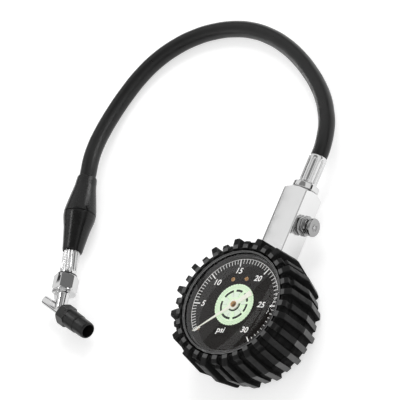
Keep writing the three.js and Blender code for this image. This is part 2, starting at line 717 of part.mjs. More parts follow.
// The handle's own frame: +Z along the handle towards the chuck, +X to the right, +Y up.
function makeHandle() {
  const handle = new THREE.Group();
  const a = rad(handleTurn);
  const right = new THREE.Vector3(Math.cos(a), Math.sin(a), 0);
  const along = new THREE.Vector3(Math.sin(a), -Math.cos(a), 0);
  const basis = new THREE.Matrix4().makeBasis(right, new THREE.Vector3(0, 0, 1), along);
  handle.quaternion.setFromRotationMatrix(basis);
  handle.position.set(...handleCentre);
  model.add(handle);

  const bore = hoseRadius + GAP + 0.1;
  const parting = 0.15;
  add(handle, 'grip_upper', turned([
    [bore, -gripHalf], [gripEnd - 0.3, -gripHalf], [gripEnd, -gripHalf + 0.8],
    [gripMid, -parting - 1.6], [gripMid, -parting], [bore, -parting],
  ], 24), 'satinBlack');
  add(handle, 'grip_lower', turned([
    [bore, parting], [gripMid, parting], [gripMid, parting + 1.6], [gripEnd, gripHalf - 0.8],
    [gripEnd - 0.3, gripHalf], [bore, gripHalf],
  ], 24), 'satinBlack');

  const knurl = fluted(16, knurlRadius, 0.3, barbRadius + GAP, ferruleFrom, ferruleTo);
  add(handle, 'chuck_ferrule', knurl, 'satinChrome');
  const washerFrom = ferruleTo + GAP;
  const nutFrom = washerFrom + washerThick + GAP;
  const nutTo = nutFrom + nutLong;
  const nutWall = 1.3;
  const barbFlange = nutFrom + nutWall + GAP;
  add(handle, 'chuck_barb', turned([
    [airway, ferruleFrom - 2], [barbRadius - 0.3, ferruleFrom - 2], [barbRadius, ferruleFrom],
    [barbRadius, barbFlange], [4.6, barbFlange], [4.6, barbFlange + 1.3], [airway, barbFlange + 1.3],
  ]), 'brass');
  const washer = ring(barbRadius + GAP, knurlRadius + 0.9, washerFrom, washerFrom + washerThick);
  add(handle, 'seal_ring', washer, 'satinBlack');
  const threadRadius = 4.9;
  const nut = cut(
    hexPrism(nutFlats, nutFrom, nutTo).rotateZ(rad(19)),
    rod(barbRadius + GAP, nutFrom - 1, nutTo, TURNED),
    rod(threadRadius, nutFrom + nutWall, nutTo + 1, TURNED),
  );
  add(handle, 'swivel_nut', nut, 'chrome');

  const flangeFrom = nutTo + GAP;
  const flangeTo = flangeFrom + flangeThick;
  const tilt = rad(chuckAngle);
  const lay = (geometry) => geometry.rotateY(tilt).translate(0, 0, crossAt);
  const web = outline([
    [-flangeRadius + 0.9, flangeTo - 0.3], [0, flangeTo - 0.3], [0, crossAt - 2],
    [-stubRadius - 0.4, crossAt - 3.5],
  ]);
  const webThick = 2.2;
  const rib = prism(web, -webThick / 2, webThick / 2).rotateX(Math.PI / 2);
  const boreRadius = 1.9;
  const socketEnd = tipFrom + tipHexLong - 1.0;
  const body = cut(
    join(
      rod(threadRadius - GAP, barbFlange + 1.3 + GAP, flangeFrom + 0.1, TURNED),
      rod(flangeRadius, flangeFrom, flangeTo, TURNED),
      rod(stubRadius, flangeFrom, crossAt, TURNED),
      rib,
      lay(rod(crossRadius, -crossBack, socketEnd, TURNED)),
    ),
    rod(1.3, barbFlange, crossAt, FINE),
    lay(rod(boreRadius, 4 - crossBack, socketEnd + 1, FINE)),
  );
  add(handle, 'chuck_body', body, 'chrome');

  const chuck = new THREE.Group();
  chuck.position.set(0, 0, crossAt);
  chuck.rotation.y = tilt;
  handle.add(chuck);
  const hexTo = tipFrom + tipHexLong;
  const barrel = turned([
    [0, hexTo - 1], [tipHex / 2, hexTo - 1], [tipHex / 2, hexTo + 1.4], [tipHex / 2 - 0.2, tipStep],
    [tipHex / 2 - 0.45, tipStep + 0.2], [tipHex / 2 - 0.6, tipEnd - 3.2], [tipRim + 0.2, tipEnd - 0.8],
    [tipRim - 0.2, tipEnd], [0, tipEnd],
  ], 24);
  const passage = 1.9;
  const pocketFrom = socketEnd + 5.6;
  const nose = cut(
    join(hexPrism(tipHex, tipFrom, hexTo), barrel),
    rod(crossRadius + GAP, tipFrom - 1, socketEnd + GAP, TURNED),
    rod(passage, tipFrom, pocketFrom + 1, FINE),
    rod(tipMouth, pocketFrom, tipEnd + 1, TURNED),
  );
  add(chuck, 'chuck_tip', nose, 'satinBlack');
  const washerSeat = pocketFrom + GAP;
  add(chuck, 'tip_gasket', ring(passage, tipMouth - GAP, washerSeat, washerSeat + 2), 'rubber');
  const pinFrom = socketEnd + 0.9;
  add(chuck, 'depressor_pin', turned([
    [0, pinFrom], [1.6, pinFrom], [1.6, pinFrom + 1], [1.1, pinFrom + 1.2], [1.1, tipEnd - 6.4],
    [0.7, tipEnd - 6], [0, tipEnd - 6],
  ], FINE), 'brass');
  const spring = coil(1.25, 0.25, 1.5, pinFrom - 0.15, 5);
  add(chuck, 'depressor_spring', spring, 'steel');
}

makeBoot();
makeCase();
makeDial();
makePointer();
makeSector();
makeLink();
makePlates();
makeTube();
makeBlock();
makeBleeder();
makeHose();
makeHandle();

export default model;
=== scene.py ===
"""The looks of a hand-held tyre inflation gauge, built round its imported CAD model. Metres, +Z up."""

import json
import math

import bmesh
import bpy
from mathutils import Matrix, Vector


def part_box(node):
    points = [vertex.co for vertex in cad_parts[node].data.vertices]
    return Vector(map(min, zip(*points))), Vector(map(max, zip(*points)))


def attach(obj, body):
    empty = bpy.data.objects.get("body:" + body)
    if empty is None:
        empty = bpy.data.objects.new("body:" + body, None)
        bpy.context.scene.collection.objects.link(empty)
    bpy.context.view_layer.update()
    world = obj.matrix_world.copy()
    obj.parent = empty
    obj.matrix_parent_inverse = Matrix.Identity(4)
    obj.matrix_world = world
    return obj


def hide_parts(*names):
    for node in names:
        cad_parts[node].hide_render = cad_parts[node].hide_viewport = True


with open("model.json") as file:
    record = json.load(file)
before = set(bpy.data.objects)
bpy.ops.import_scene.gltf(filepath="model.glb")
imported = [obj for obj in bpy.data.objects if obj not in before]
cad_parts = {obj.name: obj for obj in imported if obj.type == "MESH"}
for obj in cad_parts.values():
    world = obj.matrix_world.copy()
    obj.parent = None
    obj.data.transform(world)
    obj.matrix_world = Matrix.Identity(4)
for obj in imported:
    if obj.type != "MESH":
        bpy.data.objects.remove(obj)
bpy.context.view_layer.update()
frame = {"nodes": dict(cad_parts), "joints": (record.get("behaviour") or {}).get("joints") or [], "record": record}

MM = 0.001
NODES = frame["nodes"]
JOINTS = {joint["name"]: joint for joint in frame["joints"]}

# ---- camera ----
CAMERA_TARGET = Vector((-74.47, 66.55, 10.0)) * MM
CAMERA_RIGHT = Vector((0.7647, 0.3774, -0.5223))
CAMERA_UP = Vector((-0.1455, 0.8908, 0.4305))
FIELD_WIDTH = 235.3 * MM
LENS = 500
SENSOR = 36

# ---- hose ----
HOSE_DIAMETER = 10 * MM
HOSE_POINTS = [
    (0, 104.7, 14.5), (0, 107.2, 14.5), (-0.7, 112.3, 14.2), (-2.8, 119.1, 13.3), (-6.4, 127, 11.9),
    (-11.8, 134.9, 10.3), (-18.7, 143, 8.6), (-27.4, 151, 7.1), (-37.9, 158.9, 5.9),
    (-50, 166.5, 5.3), (-63.3, 172.9, 5.2), (-77.7, 177.4, 5.2), (-92.1, 179.3, 5.2),
    (-105.6, 178.4, 5.2), (-119.2, 174.9, 5.2), (-131.7, 169.1, 5.2), (-142.9, 161, 5.2),
    (-152.3, 150.9, 5.2), (-159.4, 139.1, 5.2), (-164.4, 125.8, 5.3), (-167.3, 112.4, 6.0),
    (-168.3, 99.8, 7.3), (-167.8, 88.2, 8.7), (-166.1, 78.7, 9.6), (-163.99, 70.7, 9.7),
    (-161.36, 60.49, 9.7), (-158.74, 50.27, 9.7), (-154.99, 35.64, 9.7),
]


# ---- places: each part's own frame, with local +Z along its axis ----
def place(origin, along, up=(0, 0, 1)):
    """A frame at origin whose Z points along, with its Y as near to up as it can be."""
    z = Vector(along).normalized()
    y = (Vector(up) - Vector(up).dot(z) * z).normalized()
    x = y.cross(z)
    turn = Matrix((x, y, z)).transposed()
    return Matrix.Translation(Vector(origin)) @ turn.to_4x4()


def centre(node):
    low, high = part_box(node)
    return (low + high) / 2


BLOCK_CENTRE = centre("valve_block")
HANDLE_JOINT = JOINTS["chuck_swivel"]
CHUCK_AXIS = -Vector(JOINTS["depressor_push"]["axis"])

GAUGE = Matrix.Identity(4)
STEM = place((0, 0, BLOCK_CENTRE.z), (0, 1, 0))
BLEEDER = place((0, centre("bleeder_button").y, BLOCK_CENTRE.z), (1, 0, 0))
HANDLE = place(HANDLE_JOINT["pos_m"], HANDLE_JOINT["axis"])
# The seal face and the swivel's axis lie in the chuck's plane, and their crossing is the elbow.
SEAL_FACE = next(m for m in frame["record"]["mounts"] if m["name"] == "valve_seal_face")


def crossing_point():
    """Where the chuck's axis crosses the handle's axis, seen from above."""
    a = Vector(HANDLE_JOINT["pos_m"]).xy
    d = Vector(HANDLE_JOINT["axis"]).xy
    b = Vector(SEAL_FACE["pos_m"]).xy
    u = CHUCK_AXIS.xy
    along = (b - a).cross(u) / d.cross(u)
    x, y = a + along * d
    return Vector((x, y, HANDLE_JOINT["pos_m"][2]))


CHUCK = place(crossing_point(), CHUCK_AXIS)


def measure(node, where):
    """In millimetres: where a CAD node starts and ends along a place's axis, and its reach from it."""
    to_local = where.inverted()
    points = [to_local @ vertex.co for vertex in NODES[node].data.vertices]
    low = min(p.z for p in points)
    high = max(p.z for p in points)
    radius = max(math.hypot(p.x, p.y) for p in points)
    return low / MM, high / MM, radius / MM


# ---- mesh tools ----
# The clearance between touching pieces, in millimetres.
GAP = 0.3
# Edges that turn more than this many degrees are drawn sharp.
SHARP = 35
ROD_SEGMENTS = 48


def add_object(name, data):
    piece = bpy.data.objects.new(name, data)
    bpy.context.scene.collection.objects.link(piece)
    return piece


def make_object(name, vertices, faces, sharp=SHARP):
    mesh = bpy.data.meshes.new(name)
    mesh.from_pydata(vertices, [], faces)
    work = bmesh.new()
    work.from_mesh(mesh)
    bmesh.ops.remove_doubles(work, verts=work.verts, dist=1e-7)
    bmesh.ops.recalc_face_normals(work, faces=work.faces)
    work.to_mesh(mesh)
    work.free()
    smooth(mesh, sharp)
    return add_object(name, mesh)


def smooth(mesh, sharp=SHARP):
    mesh.shade_smooth()
    mesh.set_sharp_from_angle(angle=math.radians(sharp))


def loft(name, rings, wrap=False, sharp=SHARP):
    """A closed skin over rings of points; a ring of one point is a pole."""
    vertices = []
    starts = []
    for ring in rings:
        starts.append(len(vertices))
        vertices.extend(ring)
    faces = []
    pairs = list(zip(range(len(rings) - 1), range(1, len(rings))))
    if wrap:
        pairs.append((len(rings) - 1, 0))
    for i, j in pairs:
        a, b = starts[i], starts[j]
        m, n = len(rings[i]), len(rings[j])
        for k in range(max(m, n)):
            after = (k + 1) % max(m, n)
            if m == 1:
                faces.append((a, b + k, b + after))
            elif n == 1:
                faces.append((a + k, b, a + after))
            else:
                faces.append((a + k, b + k, b + after, a + after))
    return make_object(name, vertices, faces, sharp)


def soften(points, radius, steps=3, closed=False):
    """Rounds the corners of a polyline; a radius may be one number or one for each corner."""
    count = len(points)
    radii = radius if isinstance(radius, (list, tuple)) else [radius] * count
    result = []
    for i, point in enumerate(points):
        here = Vector(point)
        if not closed and i in (0, count - 1) or radii[i] == 0:
            result.append(here)
            continue
        before = Vector(points[i - 1]) - here
        after = Vector(points[(i + 1) % count]) - here
        reach = min(radii[i], 0.45 * before.length, 0.45 * after.length)
        start = here + before.normalized() * reach
        end = here + after.normalized() * reach
        for k in range(steps + 1):
            t = k / steps
            result.append(start * (1 - t) ** 2 + here * 2 * t * (1 - t) + end * t * t)
    return result


def lathe(name, where, profile, segments=96, rounding=0.2, steps=3):
    """Revolves (radius, height) points in millimetres; a profile off the axis is closed on itself."""
    closed = profile[0][0] > 0
    path = soften([(r, h) for r, h in profile], rounding, steps, closed)
    rings = []
    for r, h in path:
        if r < 1e-6:
            rings.append([where @ Vector((0, 0, h * MM))])
            continue
        ring = []
        for k in range(segments):
            a = 2 * math.pi * k / segments
            ring.append(where @ Vector((r * MM * math.cos(a), r * MM * math.sin(a), h * MM)))
        rings.append(ring)
    return loft(name, rings, closed)


def prism(name, where, outline, low, high, sharp=SHARP):
    """Extrudes an outline of (x, y) points in millimetres between two heights."""
    count = len(outline)
    vertices = [where @ Vector((x * MM, y * MM, h * MM)) for h in (low, high) for x, y in outline]
    faces = [tuple(range(count)), tuple(range(count, 2 * count))]
    for k in range(count):
        after = (k + 1) % count
        faces.append((k, after, count + after, count + k))
    return make_object(name, vertices, faces, sharp)


def rectangle(half_x, half_y):
    return [(-half_x, -half_y), (half_x, -half_y), (half_x, half_y), (-half_x, half_y)]


def polar(radius, degrees):
    a = math.radians(degrees)
    return radius * math.cos(a), radius * math.sin(a)


def settle(piece):
    """Replaces a piece's mesh with what its modifiers make of it."""
    bpy.context.view_layer.update()
    graph = bpy.context.evaluated_depsgraph_get()
    mesh = bpy.data.meshes.new_from_object(piece.evaluated_get(graph))
    piece.modifiers.clear()
    piece.data = mesh
    smooth(mesh)
    return piece


def combine(piece, operation, *tools):
    """Joins, cuts or intersects a piece with tools, which are used up."""
    for tool in tools:
        modifier = piece.modifiers.new("combine", "BOOLEAN")
        modifier.operation = operation
        modifier.solver = "EXACT"
        modifier.object = tool
        settle(piece)
        bpy.data.objects.remove(tool)
    return piece


def bevel(piece, width, segments, angle=40):
    modifier = piece.modifiers.new("bevel", "BEVEL")
    modifier.width = width * MM
    modifier.segments = segments
    modifier.limit_method = "ANGLE"
    modifier.angle_limit = math.radians(angle)
    modifier.harden_normals = False
    return settle(piece)


def rod(where, radius, low, high):
    return lathe("tool", where, [(0, low), (radius, low), (radius, high), (0, high)], ROD_SEGMENTS, 0)


def tube_section(inner, outer, low, high):
    return [(inner, low), (outer, low), (outer, high), (inner, high)]


def hexagon(flats, turn=0):
    return [polar(flats / math.sqrt(3), 60 * i + turn) for i in range(6)]


def chamfered_hex(name, where, flats, low, high, chamfer, turn=0):
    """A hexagonal bar whose corners are turned off at both ends, as on a nut."""
    corner = flats / math.sqrt(3)
    bar = prism(name, where, hexagon(flats, turn), low, high)
    cone = lathe("tool", where, [
        (0, low - 1), (flats / 2 - 0.1, low - 1), (flats / 2 - 0.1, low), (corner + 0.1, low + chamfer),
        (corner + 0.1, high - chamfer), (flats / 2 - 0.1, high), (flats / 2 - 0.1, high + 1), (0, high + 1),
    ], 96, 0)
    return combine(bar, "INTERSECT", cone)


# ---- materials ----
def mix_colour(tree, factor, first, second):
    mix = tree.nodes.new("ShaderNodeMix")
    mix.data_type = "RGBA"
    mix.inputs["A"].default_value = (*first, 1)
    mix.inputs["B"].default_value = (*second, 1)
    tree.links.new(factor, mix.inputs["Factor"])
    return mix.outputs["Result"]


def noise(tree, scale, detail=3, stretch=None):
    """Noise in the piece's own coordinates, features about 1/scale metres across."""
    coords = tree.nodes.new("ShaderNodeTexCoord")
    source = coords.outputs["Object"]
    if stretch:
        mapping = tree.nodes.new("ShaderNodeMapping")
        mapping.inputs["Scale"].default_value = stretch
        tree.links.new(source, mapping.inputs["Vector"])
        source = mapping.outputs["Vector"]
    texture = tree.nodes.new("ShaderNodeTexNoise")
    texture.inputs["Scale"].default_value = scale
    texture.inputs["Detail"].default_value = detail
    tree.links.new(source, texture.inputs["Vector"])
    return texture.outputs["Fac"]


def remap(tree, value, low, high, from_low=0.3, from_high=0.7):
    node = tree.nodes.new("ShaderNodeMapRange")
    node.inputs["From Min"].default_value = from_low
    node.inputs["From Max"].default_value = from_high
    node.inputs["To Min"].default_value = low
    node.inputs["To Max"].default_value = high
    tree.links.new(value, node.inputs["Value"])
    return node.outputs["Result"]


def finish(name, colour, roughness, metallic=0.0, mottle=0.08, patch=90, grain=2500, bump=0.04,
           edge=0.0, stretch=None, **sockets):
    """A procedural finish: blotched colour, uneven gloss, fine grain and, with edge, lighter colour on sharp
    convex edges.
    """
    material = bpy.data.materials.new(name)
    material.use_nodes = True
    tree = material.node_tree
    shader = tree.nodes["Principled BSDF"]
    shader.inputs["Metallic"].default_value = metallic
    for socket, value in sockets.items():
        shader.inputs[socket.replace("_", " ")].default_value = value
    blotch = noise(tree, patch, 4)
    dark = tuple(c * (1 - mottle) for c in colour)
    light = tuple(min(1, c * (1 + mottle)) for c in colour)
    shade = mix_colour(tree, blotch, dark, light)
    if edge:
        # With edge, the colour is lighter where the surface is sharply convex.
        geometry = tree.nodes.new("ShaderNodeNewGeometry")
        sharp_edges = remap(tree, geometry.outputs["Pointiness"], 0, 1, 0.52, 0.62)
        mix = tree.nodes.new("ShaderNodeMix")
        mix.data_type = "RGBA"
        mix.inputs["B"].default_value = (*[min(1, c + edge) for c in colour], 1)
        tree.links.new(sharp_edges, mix.inputs["Factor"])
        tree.links.new(shade, mix.inputs["A"])
        shade = mix.outputs["Result"]
    tree.links.new(shade, shader.inputs["Base Color"])
    gloss = remap(tree, noise(tree, patch * 2.3, 5, stretch), roughness * 0.8, roughness * 1.25)
    tree.links.new(gloss, shader.inputs["Roughness"])
    relief = tree.nodes.new("ShaderNodeBump")
    relief.inputs["Strength"].default_value = bump
    relief.inputs["Distance"].default_value = 0.1 * MM
    tree.links.new(noise(tree, grain, 3, stretch), relief.inputs["Height"])
    tree.links.new(relief.outputs["Normal"], shader.inputs["Normal"])
    return material


def grey(value):
    return (value, value, value)


RUBBER = finish("boot_rubber", grey(0.006), 0.5, bump=0.25, edge=0.015, Specular_IOR_Level=0.22)
# Painted shade: darker, duller rubber for the ground between the lugs, standing in for the shadow there.
RUBBER_PAINTED_SHADE = finish("boot_groove_painted_shade", grey(0.004), 0.7, bump=0.3, Specular_IOR_Level=0.12)
# Painted highlight: a lighter rubber for the lugs' front pads and heels, standing in for the light they catch.
RUBBER_PAINTED_HIGHLIGHT = finish("boot_rubber_painted_highlight", grey(0.072), 0.5, mottle=0.14, bump=0.35, edge=0.02)
HOSE_SKIN = finish("hose_rubber", grey(0.008), 0.34, grain=1800, bump=0.08, Specular_IOR_Level=0.3)
SEAL = finish("black_seal", grey(0.015), 0.6)
STEEL = finish("case_steel", grey(0.42), 0.3, 1.0, stretch=(1, 1, 8))
DARK_CHROME = finish("bezel_metal", grey(0.16), 0.14, 1.0, mottle=0.05, bump=0.02)
DIAL_BLACK = finish("dial_black", (0.0105, 0.0085, 0.0075), 0.5, mottle=0.12, bump=0.01,
                    Specular_IOR_Level=0.04)
# The print's emission is painted light, making up for light lost in the lens.
DIAL_WHITE = finish("dial_white", (0.93, 0.92, 0.90), 0.5, mottle=0.03, bump=0.01,
                    Emission_Color=(1, 1, 1, 1), Emission_Strength=0.22)
# The wheel's emission is painted light, making up for light lost in the lens.
GLOW = finish("glow_paint", (0.74, 0.93, 0.66), 0.6, mottle=0.05, patch=300,
              Emission_Color=(0.74, 0.93, 0.68, 1), Emission_Strength=0.28)
# The spokes' emission is painted light, making up for light lost in the lens.
GLOW_PALE = finish("glow_pale", (0.80, 0.90, 0.76), 0.6, mottle=0.05,
                   Emission_Color=(0.8, 0.9, 0.78, 1), Emission_Strength=0.2)
GLOW_LINE = finish("glow_line", (0.42, 0.48, 0.40), 0.6)
MARK_BLACK = finish("mark_black", (0.006, 0.006, 0.006), 0.5)
# The pointer's emission is painted light, making up for light lost in the lens.
CREAM = finish("pointer_cream", (0.90, 0.90, 0.80), 0.45, mottle=0.03,
               Emission_Color=(0.9, 0.92, 0.8, 1), Emission_Strength=0.2)
BRASS = finish("brass_part", (0.72, 0.45, 0.22), 0.22, 1.0, mottle=0.12, patch=240, grain=3500)
SPRING = finish("spring_steel", grey(0.5), 0.3, 1.0)
SATIN = finish("satin_chrome", grey(0.77), 0.16, 1.0, mottle=0.01, bump=0.01)
CHROME = finish("bright_chrome", grey(0.68), 0.09, 1.0, mottle=0.03, bump=0.015)
GRIP = finish("grip_plastic", grey(0.006), 0.26, mottle=0.1, bump=0.01, Specular_IOR_Level=0.3)
TIP = finish("tip_plastic", grey(0.010), 0.32, mottle=0.1, bump=0.06, Specular_IOR_Level=0.3)
BLEEDER_CHROME = finish("bleeder_chrome", grey(0.36), 0.14, 1.0, mottle=0.06, bump=0.02)


def make_glass():
    material = bpy.data.materials.new("lens_clear")
    material.use_nodes = True
    tree = material.node_tree
    shader = tree.nodes["Principled BSDF"]
    shader.inputs["Transmission Weight"].default_value = 1.0
    shader.inputs["IOR"].default_value = 1.45
    shader.inputs["Roughness"].default_value = 0.0
    tint = mix_colour(tree, noise(tree, 120), grey(0.96), grey(1.0))
    tree.links.new(tint, shader.inputs["Base Color"])
    return material


GLASS = make_glass()


def paint(piece, *materials):
    piece.data.materials.clear()
    for material in materials:
        piece.data.materials.append(material)
    return piece


def mount(piece, material, slot, body, *nodes):
    """Paints a piece, gives it its body, and lets it stand for CAD nodes. The slot argument is not used."""
    if material:
        paint(piece, material)
    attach(piece, body)
    if nodes:
        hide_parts(*nodes)
    return piece


def finish_cad_nodes():
    """The CAD nodes that nothing replaces keep their shape and get a finish here."""
    brass = [
        "pinion_arbor", "hairspring_collet", "sector_gear", "link", "movement_back_plate",
        "movement_front_plate", "movement_pillar_1", "movement_pillar_2", "movement_pillar_3",
        "hairspring_stud", "bourdon_tube", "tube_end_piece", "gauge_socket", "chuck_barb",
        "check_poppet", "depressor_pin",
    ]
    steel = [
        "movement_screw_1", "movement_screw_2", "sector_arbor", "link_pin", "hairspring",
        "check_spring", "bleeder_spring", "bleeder_stem", "depressor_spring",
    ]
    rubber = ["lens_gasket", "check_seat", "bleeder_seal", "tip_gasket"]
    for names, material in ((brass, BRASS), (steel, SPRING), (rubber, SEAL)):
        for name in names:
            paint(NODES[name], material)
    paint(NODES["case"], STEEL)
    paint(NODES["dial_plate"], DIAL_BLACK)
    paint(NODES["pointer"], CREAM)


# ---- camera and hose ----
def make_camera():
    data = bpy.data.cameras.new("camera")
    data.lens = LENS
    data.sensor_width = SENSOR
    data.clip_end = 50
    camera = add_object("camera", data)
    right = CAMERA_RIGHT.normalized()
    back = right.cross(CAMERA_UP).normalized()
    up = back.cross(right)
    turn = Matrix((right, up, back)).transposed()
    distance = FIELD_WIDTH * LENS / SENSOR
    camera.matrix_world = Matrix.Translation(CAMERA_TARGET + back * distance) @ turn.to_4x4()
    bpy.context.scene.camera = camera


def make_hose():
    data = bpy.data.curves.new("hose_tube", "CURVE")
    data.dimensions = "3D"
    data.bevel_depth = HOSE_DIAMETER / 2
    data.bevel_resolution = 10
    data.resolution_u = 10
    data.use_fill_caps = True
    spline = data.splines.new("BEZIER")
    spline.bezier_points.add(len(HOSE_POINTS) - 1)
    for knot, point in zip(spline.bezier_points, HOSE_POINTS):
        knot.co = Vector(point) * MM
        knot.handle_left_type = "AUTO"
        knot.handle_right_type = "AUTO"
    hose = add_object("hose_tube", data)
    return mount(hose, HOSE_SKIN, "hose_rubber", "gauge", "hose")


# ---- rubber boot ----
LUG_COUNT = 32
LUG_PHASE = 87.5
LUG_HALF = 1.7
# Profile corners as (radius, height) for the ground between lugs, a tall lug and a short lug.
GROUND = [
    (34.4, 0.0), (35.4, 0.6), (36.4, 3.4), (38.2, 11.0), (38.2, 14.0), (37.8, 14.4), (37.8, 24.0),
    (37.8, 30.6), (37.4, 31.0), (37.4, 33.4), (36.8, 35.8), (34.6, 36.9), (33.9, 36.9),
]
TALL = [
    (34.6, 0.0), (38.4, 0.9), (39.2, 2.4), (42.3, 15.8), (42.8, 18.0), (42.6, 20.0), (42.1, 24.0),
    (41.5, 30.6), (41.4, 31.0), (41.1, 34.4), (40.8, 37.2), (36.2, 38.2), (33.9, 38.2),
]
SHORT = [
    (34.6, 0.0), (37.0, 0.9), (37.8, 2.4), (40.7, 15.8), (41.2, 18.0), (41.0, 20.0), (40.6, 24.0),
    (39.9, 32.6), (38.2, 32.9), (38.1, 33.8), (38.7, 37.2), (36.2, 38.2), (33.9, 38.2),
]
CORNER = [0.1, 0.4, 0.5, 0.5, 0.6, 0.3, 0.5, 0.3, 0.3, 0.4, 0.5, 0.35, 0.1]
# The boot's flat back, from its centre out, with two shallow grooves.
BACK = [
    (0, 0.0), (24.6, 0.0), (25.0, 0.45), (26.6, 0.45), (27.0, 0.0), (29.8, 0.0), (30.2, 0.45),
    (31.4, 0.45), (31.8, 0.0), (33.4, 0.0),
]
# The radius at which the points of a plain ring stand in line with the sides of a lug.
PITCH_RADIUS = 38
BOOT_SHARP = 32
# Across a lug: distance from its middle as a share of its half width, and share of its height.
ACROSS = [
    (1.5, 0.0), (1.22, 0.0), (1.1, 0.06), (1.04, 0.5), (1.0, 0.92), (0.93, 0.985), (0.8, 1.0),
    (0.0, 1.0),
]


def boot_columns():
    """(lug number, offset share, height share) round the boot, one lug after another."""
    columns = []
    for lug in range(LUG_COUNT):
        for share, lift in ACROSS:
            columns.append((lug, -share, lift))
        for share, lift in reversed(ACROSS[:-1]):
            columns.append((lug, share, lift))
    return columns


def make_boot():
    ground = soften(GROUND, CORNER, 3)
    tall = soften(TALL, CORNER, 3)
    short = soften(SHORT, CORNER, 3)
    columns = boot_columns()
    rings = []
    for point in BACK:
        rings.append(plain_ring(point, columns))
    for row in range(len(ground)):
        ring = []
        for lug, share, lift in columns:
            crown = tall[row] if lug % 2 == 0 else short[row]
            r, z = ground[row].lerp(crown, lift)
            middle = math.radians(LUG_PHASE + lug * 360 / LUG_COUNT)
            offset = math.asin(share * LUG_HALF / r)
            a = middle + offset
            ring.append(Vector((r * MM * math.cos(a), r * MM * math.sin(a), z * MM)))
        rings.append(ring)
    bore = measure("bezel", GAUGE)[2] + GAP
    case = measure("case", GAUGE)[2] + GAP
    skirt = measure("bezel", GAUGE)[0] - 0.4
    wall = measure("case", GAUGE)[0] - GAP
    for inside in ((bore, 36.4), (bore, skirt), (case, skirt), (case, wall), (0, wall)):
        rings.append(plain_ring(inside, columns))
    boot = loft("boot_shell", rings, False, BOOT_SHARP)
    half = measure("valve_block", STEM)[2] / math.sqrt(2) + 0.2
    slot = prism("tool", STEM, rectangle(half, half), 30, 50)
    combine(boot, "DIFFERENCE", slot)
    paint(boot, RUBBER, RUBBER_PAINTED_HIGHLIGHT, RUBBER_PAINTED_SHADE)
    shade_boot(boot.data)
    smooth(boot.data, BOOT_SHARP)
    return mount(boot, None, "boot_rubber", "gauge", "boot")


def plain_ring(point, columns):
    r, z = point
    if r == 0:
        return [Vector((0, 0, z * MM))]
    ring = []
    for lug, share, _ in columns:
        a = math.radians(LUG_PHASE + lug * 360 / LUG_COUNT) + share * LUG_HALF / PITCH_RADIUS
        ring.append(Vector((r * MM * math.cos(a), r * MM * math.sin(a), z * MM)))
    return ring


def shade_boot(mesh):
    """Painted highlight: lighter rubber on the lugs' front pads and heels, where they catch the light; painted
    shade: deeper black between the lugs.
    """
    for face in mesh.polygons:
        x, y, z = face.center / MM
        r = math.hypot(x, y)
        turn = math.degrees(math.atan2(y, x)) - LUG_PHASE
        pitch = 360 / LUG_COUNT
        off = abs((turn + pitch / 2) % pitch - pitch / 2)
        on_lug = math.radians(off) * r < LUG_HALF
        flat = abs(face.normal.z)
        front_pad = on_lug and z > 37.9 and r < 36.4 and flat > 0.8
        heel = on_lug and 2.4 < z < 17.2 and r > 37.2 and flat < 0.6 and r > 36.4 + z * 0.12
        # Pads and heels get the painted highlight; the ground between the lugs gets the painted shade.
        if front_pad or heel:
            face.material_index = 1
        elif not on_lug and z < 36.4:
            face.material_index = 2


# ---- bezel, lens and dial ----
def make_bezel():
    low, high, radius = measure("bezel", GAUGE)
    lens_low, lens_high, lens_radius = measure("lens", GAUGE)
    inner = radius - 2.0
    bore = lens_radius + GAP
    lip_low = lens_high + GAP
    bezel = lathe("bezel_ring", GAUGE, [
        (bore, low), (radius, low), (radius, high - 1.2), (radius - 0.25, high - 0.35),
        (radius - 0.75, high), (radius - 1.05, high - 0.28), (radius - 1.3, high - 0.3),
        (radius - 1.55, high - 0.12), (inner, high - 0.62), (inner, lip_low), (bore, lip_low),
    ], 192, 0.16)
    mount(bezel, DARK_CHROME, "bezel_metal", "gauge", "bezel")
    lens = lathe("lens_glass", GAUGE, [
        (0, lens_low), (lens_radius, lens_low), (lens_radius, lens_high), (0, lens_high),
    ], 128, 0.2)
    lens.visible_shadow = False
    mount(lens, GLASS, "lens_clear", "gauge", "lens")


DIAL_TOP = measure("dial_plate", GAUGE)[1]
SCALE_FULL = 30
SCALE_STEP = 5
# Bearings of 0, 5, 10 ... 30 psi: the scale opens out towards its top end.
SCALE_MARKS = [225, 187.4, 147.3, 106.6, 62.2, 8.8, -45]
NUMERALS = {
    "5": (-21.8, -2.9), "10": (-18.2, 11.0), "15": (-6.6, 20.4), "20": (8.2, 18.1), "25": (17.6, 3.2),
    "30": (13.2, -13.3), "psi": (-2.6, -16.2),
}
ARC_RADIUS = 28.5
PRINT_THICK = 0.06
DIAL_TURN = 5


def bearing(psi):
    step = min(int(psi // SCALE_STEP), len(SCALE_MARKS) - 2)
    share = psi / SCALE_STEP - step
    return SCALE_MARKS[step] * (1 - share) + SCALE_MARKS[step + 1] * share


def band(inner, outer, start, end, step=3):
    """Outline of an arc-shaped band between two bearings, in millimetres."""
    count = max(2, round(abs(end - start) / step))
    bearings = [start + (end - start) * i / count for i in range(count + 1)]
    return [polar(outer, b) for b in bearings] + [polar(inner, b) for b in reversed(bearings)]


def tick_outline(psi, inner, half):
    a = math.radians(bearing(psi))
    out = Vector((math.cos(a), math.sin(a)))
    side = Vector((-out.y, out.x)) * half
    corners = [out * inner - side, out * ARC_RADIUS - side, out * ARC_RADIUS + side, out * inner + side]
    return [tuple(corner) for corner in corners]


